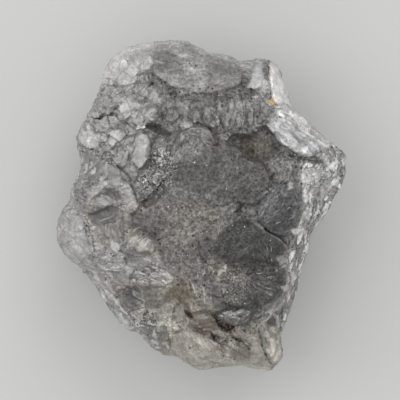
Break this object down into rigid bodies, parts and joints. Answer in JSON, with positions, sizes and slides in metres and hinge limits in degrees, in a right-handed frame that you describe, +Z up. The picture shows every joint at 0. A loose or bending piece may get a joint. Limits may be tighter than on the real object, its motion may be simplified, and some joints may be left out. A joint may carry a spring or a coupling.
{
  "type": "rough diamond",
  "caption": "Irregular uncut crystal with stepped ledges, rounded lobes and hollows on its crown, standing on a flat cleavage face.",
  "frame": {"origin": "centre of the crystal's plan, in the plane of the flat cleavage face it rests on", "axes": "+Z up out of the crown, away from the cleavage face; +Y along the crystal's longest side; +X completes a right-handed set"},
  "size_m": [0.0058, 0.0066, 0.0038],
  "materials": {
    "rough_diamond": "satin"
  },
  "bodies": {
    "root": {"rough_diamond": "rough_diamond"}
  },
  "joints": []
}
